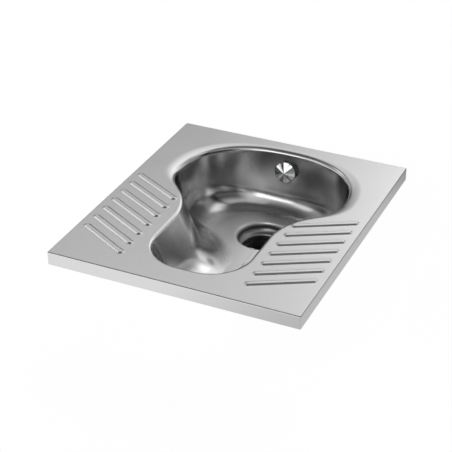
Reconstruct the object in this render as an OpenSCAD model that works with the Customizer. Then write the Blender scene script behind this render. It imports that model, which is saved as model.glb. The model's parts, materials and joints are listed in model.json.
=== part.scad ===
// Squat toilet pan in pressed stainless steel, for setting into a floor.
// Frame: x to the right, y to the back, z up. The origin is the middle of the plate,
// at the level of the skirt's lower edge. Millimetres.

/* [Plate] */
// Width of the plate, side to side
plate_w = 600; // [590:5:700]
// Depth of the plate, front to back
plate_d = 700; // [690:5:800]
// Height of the folded skirt
skirt_h = 32; // [28:1:50]
// Thickness of the steel sheet
sheet_t = 1.5; // [1:0.1:2]
// Outside radius of the folded edges
fold_r = 2.5; // [2.2:0.1:4]
// Width of the flange turned in at the foot of the skirt
hem_w = 14; // [10:1:18]

/* [Foot rests] */
// Number of raised ribs on each foot rest
rib_count = 7; // [4:1:7]
// Width of a rib at its foot
rib_foot_w = 16.5; // [12:0.5:18]
// Width of the flat top of a rib
rib_top_w = 8.5; // [4:0.5:9.5]
// Height of a rib
rib_h = 3; // [2:0.25:3.5]
// From the trough's side to the centre of a rib's inner end
rib_inner_gap = 33; // [32:0.5:44]
// From the centre of a rib's outer end to the plate's side
rib_outer_gap = 24.5; // [16:0.5:40]
// Slant of the ribs, inner end to the front
rib_slant = 29; // [20:1:32]
// From the lobe's widest line forward to the rearmost rib's middle
rib_back_gap = 113; // [112:1:130]
// From the plate's front edge to the foremost rib's middle
rib_front_gap = 102; // [60:1:120]

/* [Bowl mouth] */
// Place of the bowl's middle line, to the right of the plate's
mouth_x = 3.5; // [-5:0.5:5]
// Half width of the rear lobe
lobe_half_w = 222; // [216:0.5:226]
// Reach of the rear lobe behind its widest place
lobe_reach = 188; // [176:1:194]
// Squareness of the lobe's back: 2 is a plain ellipse
lobe_power = 2.3; // [2.1:0.05:2.5]
// From the lobe's back to the plate's back edge
lobe_back_gap = 36; // [30:1:46]
// Radius where the lobe turns in towards the waist
hip_r = 118; // [105:1:128]
// Radius of the hollow curve at the waist
waist_r = 161; // [140:1:170]
// Angle that the mouth's side turns through between lobe and trough
waist_turn = 42.5; // [41:0.5:46]
// Half width of the front trough
trough_half_w = 120.5; // [114:0.5:122]
// From the plate's front edge to the trough's front end
toe_gap = 60.5; // [50:0.5:75]
// Corner radius of the trough's front end
toe_r = 100; // [88:1:106]

/* [Bowl wall] */
// Fall of the pressed flange to the mouth, at the lobe's sides
side_fall = 2.5; // [1:0.25:4]
// Width of that flange at the lobe's sides
side_flange_w = 24; // [16:1:30]
// Width of the flange elsewhere, up to the weld
weld_flange_w = 3; // [2:0.5:3.5]
// Fall of the flange round the front trough
toe_fall = 0.3; // [0.2:0.1:0.6]
// Rolled radius of the mouth's edge at its back
lip_r = 10.5; // [9:0.5:12]
// Rolled radius at the lobe's sides
side_lip_r = 13; // [10:0.5:14]
// Slope of the rear wall from upright
back_slope = 6; // [4:0.5:9]
// Slope of the wall at the waist
waist_slope = 26; // [20:1:28]
// Slope of the trough's front wall
toe_slope = 19; // [14:1:22]
// Radius between rear wall and floor
back_floor_r = 54; // [44:1:56]
// Radius between the waist's wall and the floor
waist_floor_r = 96; // [60:1:100]

/* [Waste] */
// Depth of the floor at the waste, below the plate
waste_depth = 160; // [150:1:175]
// From the lobe's widest line back to the waste's axis
waste_back = 29; // [22:1:34]
// Radius of the neck drawn down at the waste
waste_hole_r = 64; // [62:0.5:68]
// Rolled radius between floor and neck
waste_edge_r = 8; // [5:0.5:10]
// Outside radius of the outlet spigot
spigot_r = 55; // [50:0.5:56]
// Wall of the spigot
spigot_wall = 2; // [1.5:0.25:3]
// Length of the spigot
spigot_len = 57; // [50:1:100]
// Height of the waste cup's straight side
cup_side_h = 7; // [5:0.5:14]
// Radius between the cup's side and its floor
cup_r = 14; // [11:0.5:15]
// Rise of the floor towards the front, for each millimetre
floor_rise = 0.18; // [0.14:0.01:0.24]

/* [Flush inlet] */
// Height of the inlet's axis below the plate
inlet_drop = 51; // [49:1:60]
// Radius of the spreader cap
cap_r = 28; // [25:0.5:30]
// Height of the spreader's cone
cap_h = 12; // [9:0.5:14]
// Open slot between spreader and flange
cap_gap = 3; // [2:0.5:4]
// Outside radius of the threaded tail
tail_r = 12.5; // [12:0.25:13]
// Bore radius of the tail and the elbow
tail_bore_r = 9; // [8.5:0.25:9.25]
// Length of the inlet's pipe below its nut
inlet_tail_len = 23; // [16:1:60]

/* [Under the plate] */
// Overall width of a stiffening channel
channel_w = 86; // [80:1:88]
// Depth of a stiffening channel
channel_h = 24; // [16:1:24]
// From a stiffening channel's ends to the plate's front edge
channel_front_gap = 30; // [26:1:80]
// Thickness of a damping pad
pad_t = 2.5; // [2:0.5:4]
// From a fixing hole to the plate's side
lug_inset_x = 38; // [36:1:44]
// From a fixing hole to the plate's front or back edge
lug_inset_y = 70; // [55:1:90]
// Radius of a fixing hole
lug_hole_r = 4.5; // [4:0.25:5.5]

/* [Hidden] */

SATIN = [0.78, 0.78, 0.79];
CHROME = [0.88, 0.89, 0.91];
BRASS = [0.80, 0.66, 0.36];
RUBBER = [0.12, 0.12, 0.13];
ZINC = [0.68, 0.70, 0.72];

$fn = 64;
round_fn = 96;         // roundness of what the eye sees
cut = 1;               // how far a cutter runs past a face
seat_gap = 0.3;        // clearance between round pieces that don't touch

// ---------- Places that follow from the sizes above ----------
lobe_y = plate_d / 2 - lobe_back_gap - lobe_reach;
toe_y = toe_gap - plate_d / 2;
waste_y = lobe_y + waste_back;
rib_inner_x = trough_half_w + rib_inner_gap;
rib_outer_x = plate_w / 2 - rib_outer_gap;
rib_mid_x = (rib_inner_x + rib_outer_x) / 2;
rib_len = (rib_outer_x - rib_inner_x) / cos(rib_slant);
rib_back_y = lobe_y - rib_back_gap;
rib_pitch = (rib_back_y - rib_front_gap + plate_d / 2) / (rib_count - 1);

// ---------- Bowl: fixed shape factors ----------
lobe_steps = 14;       // stations on a quarter of the rear lobe
hip_steps = 4;         // on the hip's arc
waist_steps = 6;       // on the waist's arc
trough_steps = 3;      // on the trough's straight side
toe_steps = 7;         // on the toe's corner
flange_steps = 2;      // rings on the fallen flange
lip_steps = 4;         // rings on the rolled lip
wall_steps = 2;        // rings on the plain wall
fillet_steps = 8;      // rings between wall and floor
floor_steps = 6;       // rings from the fillet to the waste
side_extra_slope = 1;  // the lobe's sides lean this much more than its back
back_flange_w = 10;    // flange width behind the lobe
back_fall = 0.8;       // fall of that flange
toe_lip_r = 7;         // rolled radius at the trough
toe_floor_r = 74;      // radius between the toe's wall and the floor
side_floor_r = 88;     // radius between the lobe's side walls and the floor
floor_rise_back = 0.08; // rise of the floor towards the back, for each millimetre
floor_ease = 60;       // distance over which the floor's slope sets in
waste_flat_w = 5;      // flat ring of floor round the waste's rolled edge
waste_neck_h = 3;      // straight neck below that edge
edge_steps = 4;        // rings on that edge
probe = 1;             // step for measuring the floor's slope
fit_rounds = 8;        // rounds that settle the foot of each wall

function ease(t) = let(u = max(0, min(1, t))) u * u * (3 - 2 * u);
function mix(a, b, t) = a + (b - a) * t;
// A value that runs from the back (place 0) by the side (1) and waist (3) to the toe (4.5)
function along(p, back, side, waist, toe) =
    p < 1 ? mix(back, side, ease(p))
    : p < 3 ? mix(side, waist, ease((p - 1) / 2))
    : mix(waist, toe, ease((p - 3) / 1.5));

// Stations of the right half of the mouth: [x, y, bearing of the outward normal, place]
lobe_arc = [for (i = [0:lobe_steps]) let(t = 90 * i / lobe_steps,
    u = pow(sin(t), 2 / lobe_power), v = pow(max(0, cos(t)), 2 / lobe_power), n = lobe_power - 1)
    [lobe_half_w * u, lobe_y + lobe_reach * v,
     atan2(pow(u, n) / lobe_half_w, pow(v, n) / lobe_reach), i / lobe_steps]];
hip_arc = [for (i = [1:hip_steps]) let(t = 90 + waist_turn * i / hip_steps)
    [lobe_half_w - hip_r + hip_r * sin(t), lobe_y + hip_r * cos(t), t, 1 + 0.7 * i / hip_steps]];
hip_end = hip_arc[hip_steps - 1];
slant_len = (hip_end[0] - waist_r * (1 - cos(waist_turn)) - trough_half_w) / sin(waist_turn);
slant_bearing = 90 + waist_turn;
slant_end = [hip_end[0] + slant_len * cos(slant_bearing), hip_end[1] - slant_len * sin(slant_bearing),
             slant_bearing, 2];
waist_arc = [for (i = [1:waist_steps]) let(t = slant_bearing - waist_turn * i / waist_steps)
    [slant_end[0] + waist_r * (sin(slant_bearing) - sin(t)),
     slant_end[1] + waist_r * (cos(slant_bearing) - cos(t)), t, 2 + i / waist_steps]];
waist_end = waist_arc[waist_steps - 1];
trough_side = [for (i = [1:trough_steps])
    [trough_half_w, mix(waist_end[1], toe_y + toe_r, i / trough_steps), 90, 3 + i / trough_steps]];
toe_arc = [for (i = [1:toe_steps]) let(t = 90 + 90 * i / toe_steps)
    [trough_half_w - toe_r + toe_r * sin(t), toe_y + toe_r + toe_r * cos(t), t, 4 + i / toe_steps]];
toe_middle = [0, toe_y, 180, 5];
right_half = concat(lobe_arc, hip_arc, [slant_end], waist_arc, trough_side, toe_arc, [toe_middle]);
half_n = len(right_half);
left_half = [for (i = [half_n - 2:-1:1]) let(s = right_half[i]) [-s[0], s[1], -s[2], s[3]]];
mouth = concat(right_half, left_half);
mouth_n = len(mouth);

function outward(s) = [sin(s[2]), cos(s[2])];
function flange_w(s) = s[3] < 1 ? mix(back_flange_w, side_flange_w, ease(s[3]))
    : mix(side_flange_w, weld_flange_w, ease((s[3] - 1) / 1.1));
function flange_fall(s) = s[3] < 1 ? mix(back_fall, side_fall, ease(s[3]))
    : mix(side_fall, toe_fall, ease((s[3] - 1) / 1.1));
function lip_radius(s) = along(s[3], lip_r, side_lip_r, mix(lip_r, toe_lip_r, 0.7), toe_lip_r);
function wall_slope(s) = along(s[3], back_slope, back_slope + side_extra_slope, waist_slope, toe_slope);
function floor_radius(s) = along(s[3], back_floor_r, side_floor_r, waist_floor_r, toe_floor_r);

// Height of the floor at a point, from the plate's top: it falls along rays to the waste
waste_c = [0, waste_y];
edge_r = waste_hole_r + waste_edge_r;  // where the rolled edge starts
flat_r = edge_r + waste_flat_w;
function floor_z(p) = let(d = norm(p - waste_c), out = max(0, d - flat_r),
    ahead = (1 - (p[1] - waste_y) / d) / 2,
    k = mix(floor_rise_back, floor_rise, ahead * ahead))
    -waste_depth + k * out * out / (out + floor_ease);

// Reach of a wall's foot inwards from the lip, settled by repetition
function foot_slope(s, a) = let(n = outward(s), p = [s[0], s[1]] - n * a)
    atan((floor_z(p + n * probe) - floor_z(p - n * probe)) / (2 * probe));
function wall_len(s, a) = let(n = outward(s), z = floor_z([s[0], s[1]] - n * a),
    h = -z - flange_fall(s), r = lip_radius(s), f = wall_slope(s), c = floor_radius(s),
    t0 = lip_start(s), b = foot_slope(s, a))
    (h - r * (cos(t0) - sin(f)) - c * (cos(b) - sin(f))) / cos(f);
function lip_start(s) = atan(2 * flange_fall(s) / flange_w(s));
function foot_reach(s, a) = let(r = lip_radius(s), f = wall_slope(s), c = floor_radius(s),
    t0 = lip_start(s), b = foot_slope(s, a), w = wall_len(s, a))
    r * (cos(f) - sin(t0)) + w * sin(f) + c * (cos(f) - sin(b));
function settled(s, a, left) = left == 0 ? a : settled(s, foot_reach(s, a), left - 1);

// Points down a station's wall: [reach inwards, height, fall of the tangent]
function wall_points(s) = let(
    w = flange_w(s), d = flange_fall(s), r = lip_radius(s), f = wall_slope(s), c = floor_radius(s),
    t0 = lip_start(s), t1 = 90 - f, a = settled(s, 60, fit_rounds), b = foot_slope(s, a),
    l = wall_len(s, a),
    lip_a = r * (sin(t1) - sin(t0)), lip_z = -d - r * (cos(t0) - cos(t1)),
    foot_a = lip_a + l * sin(f), foot_z = lip_z - l * cos(f))
    concat(
        [for (i = [0:flange_steps]) let(u = i / flange_steps) [w * (u - 1), -d * u * u, atan(2 * d * u / w)]],
        [for (i = [1:lip_steps]) let(t = mix(t0, t1, i / lip_steps))
            [r * (sin(t) - sin(t0)), -d - r * (cos(t0) - cos(t)), t]],
        [for (i = [1:wall_steps]) let(u = i / wall_steps)
            [mix(lip_a, foot_a, u), mix(lip_z, foot_z, u), t1]],
        [for (i = [1:fillet_steps]) let(t = mix(t1, b, i / fillet_steps))
            [foot_a + c * (sin(t1) - sin(t)), foot_z - c * (cos(t) - cos(t1)), t]]);

// The same points in space, a sheet's depth below the shown face when drop is the sheet's thickness
function wall_line(s, drop) = let(n = outward(s)) [for (q = wall_points(s))
    let(a = q[0] - drop * sin(q[2]), z = q[1] - drop * cos(q[2])) [s[0] - n[0] * a, s[1] - n[1] * a, z]];
function waste_points(drop) = concat(
    [for (i = [0:edge_steps]) let(t = 90 * i / edge_steps, r = waste_edge_r - drop)
        [edge_r - r * sin(t), -waste_depth - waste_edge_r + r * cos(t)]],
    [[waste_hole_r + drop, -waste_depth - waste_edge_r - waste_neck_h]]);
function floor_line(foot, drop) = let(d = norm([foot[0], foot[1]] - waste_c),
    u = ([foot[0], foot[1]] - waste_c) / d)
    concat([for (i = [1:floor_steps]) let(r = mix(d, flat_r, i / floor_steps), p = waste_c + u * r)
            [p[0], p[1], floor_z(p) - drop]],
        [for (q = waste_points(drop)) [waste_c[0] + u[0] * q[0], waste_c[1] + u[1] * q[0], q[1]]]);
function station_line(s, drop) = let(w = wall_line(s, drop), foot = wall_line(s, 0)[len(w) - 1])
    concat(w, floor_line(foot, drop));

// ---------- Places shared by several pieces ----------
back_lip_start = lip_start(mouth[0]);
back_lip_a = lip_r * (cos(back_slope) - sin(back_lip_start));
back_lip_z = -back_fall - lip_r * (cos(back_lip_start) - sin(back_slope));
inlet_y = lobe_y + lobe_reach - back_lip_a - (inlet_drop + back_lip_z) * tan(back_slope);
seat_r = 27;                       // flat pressed in the rear wall for the inlet
seat_front = 0.9;                  // how far that flat stands before the wall's middle
seat_back = -sheet_t - 0.2;        // rear face of the flat
gasket_t = 2;
flange_t = 3;
flange_r = 23;
nut_t = 5;
nut_corner_r = 19.5;
nut_back = seat_back - gasket_t - nut_t;
flange_top = seat_front + gasket_t + flange_t;
tail_end = nut_back - 12;
union_corner_r = 15.5;
thread_gap = 0.1;                  // play between a nut and its thread
cup_z = -waste_depth - waste_edge_r;       // top of the waste cup, round the bowl's neck
cup_in = waste_hole_r + sheet_t + thread_gap; // its inside radius there
collar_t = 1.5;
spigot_bore_r = spigot_r - spigot_wall;
neck_r = spigot_bore_r - thread_gap;       // outside of the cup's neck, inside the spigot
neck_in = neck_r - collar_t;
shoulder_r = 5;                            // rolled radius from the cup's floor to its neck
cup_fall = 20;                             // slope of the cup's floor
bend_z = cup_z - cup_side_h;               // level of the centre of the cup's inner curve
cup_end = [cup_in - cup_r * (1 - sin(cup_fall)), bend_z - cup_r * cos(cup_fall)];
shoulder_in = neck_in + shoulder_r * (1 - sin(cup_fall));
shoulder_z = cup_end[1] - (cup_end[0] - shoulder_in) * tan(cup_fall) - shoulder_r * cos(cup_fall);
neck_end = shoulder_z - 12;
spigot_top = shoulder_z - seat_gap;
spigot_end = spigot_top - spigot_len;
groove = 0.8;                              // depth of the seal's groove
seal_h = 18;
seal_z = spigot_top - 3 - seal_h;
channel_x = trough_half_w + 25 + channel_w / 2; // middle line of a stiffening channel
channel_front = channel_front_gap - plate_d / 2;
channel_len = lobe_y - 165 - channel_front;
channel_flange = 16;
hem_top = -skirt_h + sheet_t;
screw_r = 3;
tag_x = 100 - plate_w / 2;
tag_y = plate_d / 2 - 26;
tag_w = 24;
tag_t = 2;
tag_drop = 26;                     // how far the tag hangs below the plate
tag_hole_z = -sheet_t - 16;

// Raises a piece from the plate's top to its place over the skirt's lower edge
module on_skirt() { translate([0, 0, skirt_h]) children(); }
// The same for what is centred on the bowl's middle line
module on_bowl() { translate([mouth_x, 0, skirt_h]) children(); }
// Puts a piece drawn along +z on the inlet's axis, pointing into the bowl
module at_inlet() {
    translate([0, inlet_y, -inlet_drop]) rotate([90 - back_slope, 0, 0]) children();
}
module tube(r_out, r_in, z0, z1) {
    translate([0, 0, z0]) difference() {
        cylinder(r = r_out, h = z1 - z0);
        translate([0, 0, -cut]) cylinder(r = r_in, h = z1 - z0 + 2 * cut);
    }
}
module hex_nut(corner_r, bore_r, z0, z1) {
    difference() {
        translate([0, 0, z0]) cylinder(r = corner_r, h = z1 - z0, $fn = 6);
        translate([0, 0, z0 - cut]) cylinder(r = bore_r, h = z1 - z0 + 2 * cut);
    }
}

// ---------- Deck ----------
// A slab with rounded upper edges and corners; its top is at z = 0
module folded_block(w, d, h, r) {
    x = w / 2 - r;
    y = d / 2 - r;
    translate([-x, -y, -h]) cube([2 * x, 2 * y, h]);
    translate([-x - r, -y, -h]) cube([2 * (x + r), 2 * y, h - r]);
    translate([-x, -y - r, -h]) cube([2 * x, 2 * (y + r), h - r]);
    for (sx = [-1, 1]) {
        for (sy = [-1, 1]) {
            translate([sx * x, sy * y, -h]) cylinder(r = r, h = h - r);
            translate([sx * x, sy * y, -r]) sphere(r = r);
        }
        translate([sx * x, -y, -r]) rotate([-90, 0, 0]) cylinder(r = r, h = 2 * y);
    }
    for (sy = [-1, 1]) translate([-x, sy * y, -r]) rotate([0, 90, 0]) cylinder(r = r, h = 2 * x);
}
// One rib: a bar with sloping sides and round ends
module rib_form(foot_w, top_w, h, sink) {
    slope = (foot_w - top_w) / 2 / h;
    half_foot = foot_w / 2 + sink * slope;
    rotate([90, 0, 90]) translate([0, 0, -rib_len / 2]) linear_extrude(height = rib_len)
        polygon([[-half_foot, -sink], [half_foot, -sink], [top_w / 2, h], [-top_w / 2, h]]);
    for (side = [-1, 1]) translate([side * rib_len / 2, 0, -sink])
        cylinder(r1 = half_foot, r2 = top_w / 2, h = h + sink);
}
module each_rib() {
    for (side = [-1, 1]) for (i = [0:rib_count - 1])
        translate([side * rib_mid_x, rib_back_y - i * rib_pitch, 0]) rotate([0, 0, side * rib_slant])
            children();
}
module mouth_cut() {
    translate([mouth_x, 0, -2 * sheet_t]) linear_extrude(height = 4 * sheet_t)
        polygon([for (s = mouth) [s[0], s[1]] + outward(s) * flange_w(s)]);
}
module deck() {
    in_r = fold_r - sheet_t;
    on_skirt() color(SATIN) difference() {
        union() {
            folded_block(plate_w, plate_d, skirt_h, fold_r);
            each_rib() rib_form(rib_foot_w, rib_top_w, rib_h, sheet_t / 2);
        }
        translate([0, 0, -sheet_t])
            folded_block(plate_w - 2 * sheet_t, plate_d - 2 * sheet_t, skirt_h - 2 * sheet_t, in_r);
        translate([-plate_w / 2 + hem_w, -plate_d / 2 + hem_w, -skirt_h - cut])
            cube([plate_w - 2 * hem_w, plate_d - 2 * hem_w, 2 * sheet_t + cut]);
        each_rib() translate([0, 0, -sheet_t])
            rib_form(rib_foot_w - 2 * sheet_t, rib_top_w - sheet_t, rib_h, sheet_t / 2);
        mouth_cut();
    }
}

// ---------- Bowl ----------
module bowl_shell() {
    lines = [for (s = mouth) concat(station_line(s, 0), station_line(s, sheet_t))];
    k = len(lines[0]) / 2;
    points = [for (line = lines, p = line) p];
    last = k - 1;
    faces = [for (i = [0:mouth_n - 1]) let(a = i * 2 * k, b = ((i + 1) % mouth_n) * 2 * k) each concat(
        [for (j = [0:last - 1]) each [[a + j, b + j, b + j + 1], [a + j, b + j + 1, a + j + 1]]],
        [for (j = [k:k + last - 1]) each [[a + j, b + j + 1, b + j], [a + j, a + j + 1, b + j + 1]]],
        [[b, a, a + k], [b, a + k, b + k]],
        [[a + last, b + last, b + k + last], [a + last, b + k + last, a + k + last]])];
    polyhedron(points = points, faces = faces, convexity = 6);
}
module bowl() {
    on_bowl() color(SATIN) difference() {
        union() {
            bowl_shell();
            at_inlet() translate([0, 0, seat_back]) cylinder(r = seat_r, h = seat_front - seat_back);
        }
        at_inlet() translate([0, 0, seat_back - cut]) cylinder(r = tail_r + seat_gap, h = 4 * sheet_t);
    }
}

// ---------- Waste ----------
// A cup below the bowl: straight side, rounded floor, and a neck that enters the spigot
function cup_line(t) = concat([[cup_in + t, cup_z]],
    [for (i = [0:5]) let(a = (90 - cup_fall) * i / 5)
        [cup_in - cup_r + (cup_r + t) * cos(a), bend_z - (cup_r + t) * sin(a)]],
    [for (i = [0:5]) let(a = mix(cup_fall, 90, i / 5))
        [neck_in + shoulder_r - (shoulder_r - t) * sin(a), shoulder_z + (shoulder_r - t) * cos(a)]],
    [[neck_in + t, neck_end]]);
module waste_collar() {
    inner = cup_line(0);
    outer = cup_line(collar_t);
    last = len(outer) - 1;
    on_bowl() color(SATIN) translate([0, waste_y, 0]) rotate_extrude($fn = round_fn)
        polygon(concat(inner, [for (i = [last:-1:0]) outer[i]]));
}
// The spigot has a shallow groove near its top, and the seal sits in it
module waste_spigot() {
    on_bowl() color(SATIN) translate([0, waste_y, 0]) rotate_extrude($fn = round_fn)
        polygon([[spigot_bore_r, spigot_end], [spigot_r, spigot_end],
                 [spigot_r, seal_z], [spigot_r - groove, seal_z],
                 [spigot_r - groove, seal_z + seal_h], [spigot_r, seal_z + seal_h],
                 [spigot_r, spigot_top], [spigot_bore_r, spigot_top]]);
}
module spigot_seal() {
    r = spigot_r - groove + thread_gap;
    on_bowl() color(RUBBER) translate([0, waste_y, seal_z]) rotate_extrude($fn = round_fn)
        polygon([[r, 0], [r + 3, 0], [r + 3, 3], [r + 7, 7], [r + 6.4, 8], [r + 3, 6.5],
                 [r + 3, 11], [r + 7, 15], [r + 6.4, 16], [r + 3, 14.5], [r + 3, seal_h], [r, seal_h]]);
}

// ---------- Flush inlet ----------
boss_r = 4.5;
web_t = 4;
web_w = 3;
web_z = seat_front - 2;            // rear face of the web across the tail
cap_z = flange_top + cap_gap;      // rear face of the spreader
cap_wall = 1.6;
cap_screw_head_r = 4.5;
module spreader_cap() {
    on_bowl() color(CHROME) at_inlet() difference() {
        union() {
            translate([0, 0, cap_z]) rotate_extrude($fn = round_fn) polygon(concat(
                [[0, cap_wall + 1], [0, cap_h], [1.2, cap_h - 0.15]],
                [for (t = [75:-15:-90]) [cap_r - cap_wall + cap_wall * cos(t), cap_wall + cap_wall * sin(t)]],
                [[cap_r - cap_wall, cap_wall + 1]]));
            translate([0, 0, web_z + web_t]) cylinder(r = boss_r, h = cap_z - web_z - web_t + 4);
        }
        translate([0, 0, web_z]) cylinder(r = screw_r + thread_gap, h = cap_z - web_z + 2);
    }
}
module cap_screw() {
    on_bowl() color(ZINC) at_inlet() {
        translate([0, 0, web_z - 4]) cylinder(r = cap_screw_head_r, h = 4, $fn = 6);
        translate([0, 0, web_z - 1]) cylinder(r = screw_r, h = cap_z - web_z + 1);
    }
}
module nozzle_body() {
    on_bowl() color(CHROME) at_inlet() difference() {
        union() {
            difference() {
                union() {
                    translate([0, 0, flange_top - flange_t]) cylinder(r = flange_r, h = flange_t);
                    translate([0, 0, tail_end]) cylinder(r = tail_r, h = flange_top - tail_end);
                }
                translate([0, 0, tail_end - cut]) cylinder(r = tail_bore_r, h = flange_top - tail_end + 2 * cut);
            }
            translate([-tail_bore_r - 1, -web_w / 2, web_z]) cube([2 * tail_bore_r + 2, web_w, web_t]);
            translate([-web_w / 2, -tail_bore_r - 1, web_z]) cube([web_w, 2 * tail_bore_r + 2, web_t]);
            translate([0, 0, web_z]) cylinder(r = boss_r, h = web_t);
        }
        translate([0, 0, web_z - cut]) cylinder(r = screw_r + seat_gap, h = web_t + 2 * cut);
    }
}
module front_gasket() {
    on_bowl() color(RUBBER) at_inlet() tube(flange_r - 1, tail_r + thread_gap, seat_front, seat_front + gasket_t);
}
module rear_gasket() {
    on_bowl() color(RUBBER) at_inlet() tube(flange_r - 2, tail_r + thread_gap, seat_back - gasket_t, seat_back);
}
module back_nut() {
    on_bowl() color(BRASS) at_inlet() hex_nut(nut_corner_r, tail_r + thread_gap, nut_back, seat_back - gasket_t);
}
// Cast elbow screwed on the tail, with its leg pointing straight down
socket_wall = 3;
leg_wall = 2;
leg_r = tail_bore_r + leg_wall;
elbow_z = tail_end - 4;            // where the leg's axis meets the tail's axis
leg_len = 32;                      // from that meeting to the leg's threaded end
elbow_top = 5.5;                   // how far the leg's bore runs above that meeting
seal_t = 2;
pipe_wall = 1;
pipe_collar_t = 2.5;
module at_leg() { at_inlet() translate([0, 0, elbow_z]) rotate([90 + back_slope, 0, 0]) children(); }
module inlet_elbow() {
    on_bowl() color(BRASS) difference() {
        union() {
            at_inlet() translate([0, 0, tail_end - 2])
                cylinder(r = tail_r + socket_wall, h = nut_back - seat_gap - tail_end + 2);
            at_inlet() translate([0, 0, elbow_z]) cylinder(r = leg_r - 0.5, h = 4);
            at_inlet() translate([0, 0, elbow_z]) sphere(r = leg_r + 0.8);
            at_leg() cylinder(r = leg_r, h = leg_len);
        }
        at_inlet() translate([0, 0, tail_end - seat_gap])
            cylinder(r = tail_r + thread_gap, h = nut_back - tail_end + cut);
        at_inlet() translate([0, 0, elbow_z]) cylinder(r = tail_bore_r - 0.5, h = 5);
        at_leg() translate([0, 0, -elbow_top]) cylinder(r = tail_bore_r, h = elbow_top + leg_len + cut);
    }
}
module union_seal() {
    on_bowl() color(RUBBER) at_leg() tube(leg_r - 0.5, tail_bore_r, leg_len, leg_len + seal_t);
}
pipe_bore_r = tail_bore_r - leg_wall / 2;
pipe_r = pipe_bore_r + pipe_wall;
pipe_z = leg_len + seal_t + pipe_collar_t;    // where the pipe leaves its collar
nut_lip = 2.5;
module inlet_tail() {
    hub_h = nut_lip + 0.5;
    on_bowl() color(CHROME) at_leg() {
        tube(leg_r - 0.5, pipe_bore_r, pipe_z - pipe_collar_t, pipe_z);
        tube(pipe_r + 0.5, pipe_bore_r, pipe_z, pipe_z + hub_h);
        tube(pipe_r, pipe_bore_r, pipe_z + hub_h, pipe_z + hub_h + inlet_tail_len);
    }
}
module union_nut() {
    on_bowl() color(BRASS) at_leg() difference() {
        hex_nut(union_corner_r, pipe_r + 0.5 + seat_gap, leg_len - 9, pipe_z + nut_lip);
        translate([0, 0, leg_len - 10]) cylinder(r = leg_r + thread_gap, h = pipe_z - leg_len + 10);
    }
}

// ---------- Under the foot rests ----------
module stiffener(side) {
    w = channel_w / 2;
    web = w - channel_flange;
    t = sheet_t;
    on_skirt() color(SATIN) translate([side * channel_x, channel_front + channel_len, -t]) rotate([90, 0, 0])
        linear_extrude(height = channel_len) polygon([
            [-w, 0], [-w, -t], [-web - t, -t], [-web - t, -channel_h], [web + t, -channel_h],
            [web + t, -t], [w, -t], [w, 0], [web, 0], [web, t - channel_h], [-web, t - channel_h], [-web, 0]]);
}
module left_stiffener() { stiffener(-1); }
module right_stiffener() { stiffener(1); }
module damping_pad(side) {
    w = channel_w - 2 * channel_flange - 4;
    on_skirt() color(RUBBER) translate([side * channel_x - w / 2, channel_front + 6, -sheet_t - pad_t])
        cube([w, channel_len - 12, pad_t]);
}
module left_damping_pad() { damping_pad(-1); }
module right_damping_pad() { damping_pad(1); }

// ---------- Fixing and earthing ----------
lug_t = 2.5;
lug_w = 44;
lug_edge = 17;                     // from the hole to the lug's inner end
module fixing_lugs() {
    outer = plate_w / 2 - sheet_t;
    hole_x = plate_w / 2 - lug_inset_x;
    hole_y = plate_d / 2 - lug_inset_y;
    inner = hole_x - lug_edge;
    on_skirt() color(SATIN) for (sx = [-1, 1]) for (sy = [-1, 1]) difference() {
        translate([sx > 0 ? inner : -outer, sy * hole_y - lug_w / 2, hem_top])
            cube([outer - inner, lug_w, lug_t]);
        translate([sx * hole_x, sy * hole_y, hem_top - cut])
            cylinder(r = lug_hole_r, h = lug_t + 2 * cut);
    }
}
module earth_tag() {
    on_skirt() color(SATIN) difference() {
        translate([tag_x - tag_w / 2, tag_y, -sheet_t - tag_drop]) {
            cube([tag_w, tag_t, tag_drop]);
            translate([0, -14, tag_drop - tag_t]) cube([tag_w, 14 + tag_t, tag_t]);
        }
        translate([tag_x, tag_y - cut, tag_hole_z]) rotate([-90, 0, 0])
            cylinder(r = screw_r + seat_gap, h = tag_t + 2 * cut);
    }
}
washer_t = 1.6;
module on_tag_axis() {
    on_skirt() translate([tag_x, tag_y + tag_t, tag_hole_z]) rotate([-90, 0, 0]) children();
}
module earth_bolt() {
    color(ZINC) on_tag_axis() {
        translate([0, 0, washer_t]) cylinder(r = 5.8, h = 4, $fn = 6);
        translate([0, 0, -14]) cylinder(r = screw_r, h = 15 + washer_t);
    }
}
module earth_washers() {
    color(ZINC) on_tag_axis() {
        tube(6.2, screw_r + seat_gap, 0, washer_t);
        tube(6.2, screw_r + seat_gap, -tag_t - washer_t, -tag_t);
    }
}
module earth_nut() {
    color(ZINC) on_tag_axis() hex_nut(5.8, screw_r + thread_gap, -tag_t - washer_t - 5, -tag_t - washer_t);
}

deck();
bowl();
waste_collar();
waste_spigot();
spigot_seal();
spreader_cap();
cap_screw();
nozzle_body();
front_gasket();
rear_gasket();
back_nut();
inlet_elbow();
union_seal();
inlet_tail();
union_nut();
left_stiffener();
right_stiffener();
left_damping_pad();
right_damping_pad();
fixing_lugs();
earth_tag();
earth_bolt();
earth_washers();
earth_nut();
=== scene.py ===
# %% [markdown]
# # A squat toilet pan in pressed stainless steel
#
# The real object is a square-edged plate, 600 by 700 mm, that is set into a floor. A deep keyhole
# bowl is pressed into it: a wide rear lobe over the waste, a narrow waist and a front trough.
# Seven slanting ribs on each side are the foot rests. A chrome spreader in the rear wall lets the
# flush water in. Nearly everything is one metal, so the picture is made by three things: the exact
# curves of the pressing, a fine satin finish, and a studio with bright and dark sides for the
# metal to mirror. This script builds them in that order.
#
# Sizes below are in millimetres, with heights from the plate's top, as in the CAD source. The CAD
# frame has z = 0 at the skirt's lower edge, so every mesh is lifted by the skirt's height when it is
# made.

# %% Set up
import json
import math

import bmesh
import bpy
import numpy as np
from mathutils import Matrix, Vector
from mathutils.geometry import delaunay_2d_cdt


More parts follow.
